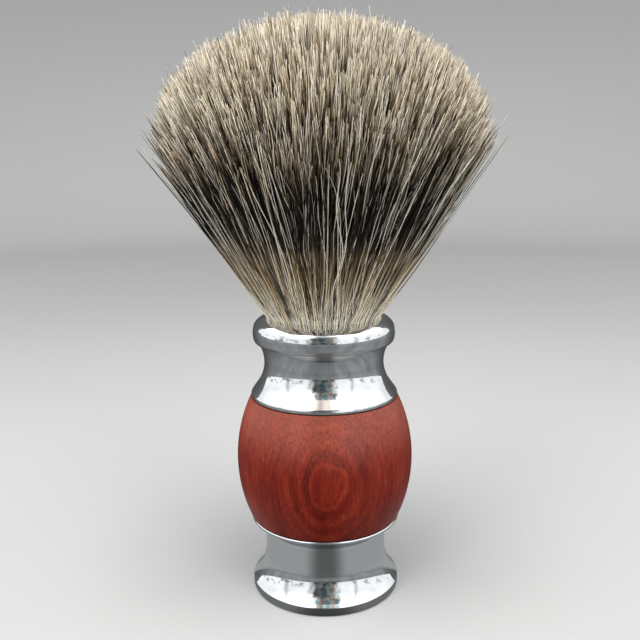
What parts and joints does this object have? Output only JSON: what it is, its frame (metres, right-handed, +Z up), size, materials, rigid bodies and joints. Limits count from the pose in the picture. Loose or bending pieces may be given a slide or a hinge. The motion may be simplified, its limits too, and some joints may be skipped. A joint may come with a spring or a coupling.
{
  "type": "shaving brush",
  "caption": "Fan-shaped knot of banded hair in a plated collar on a turned red wood barrel, with a plated, flared foot that it stands on.",
  "frame": {"origin": "centre of the foot's bottom face, on the surface that the brush stands on", "axes": "+Z up along the handle's axis to the tip of the hair; the part is turned about +Z, and -Y is the side the picture shows"},
  "size_m": [0.0586, 0.0586, 0.1058],
  "materials": {
    "plated_foot": "polished plating, brushed on the straight neck",
    "plated_collar": "polished plating",
    "red_wood": "satin oiled, open pored",
    "rubber": "matt",
    "zinc_steel": "zinc plated",
    "fibre": "pressed dark fibre",
    "adhesive": "cured setting adhesive",
    "resin": "cast resin",
    "thread": "wound thread",
    "hair": "loose animal hair, dark band with pale tips"
  },
  "bodies": {
    "root": {"base": "plated_foot", "base_pad": "rubber", "clamp_nut": "zinc_steel", "lock_washer": "zinc_steel", "tie_rod": "zinc_steel", "base_gasket": "fibre", "barrel": "red_wood", "collar_gasket": "fibre", "collar": "plated_collar", "setting_adhesive": "adhesive", "knot_plug": "resin", "knot_binding": "thread", "hair_knot": "hair"}
  },
  "joints": []
}
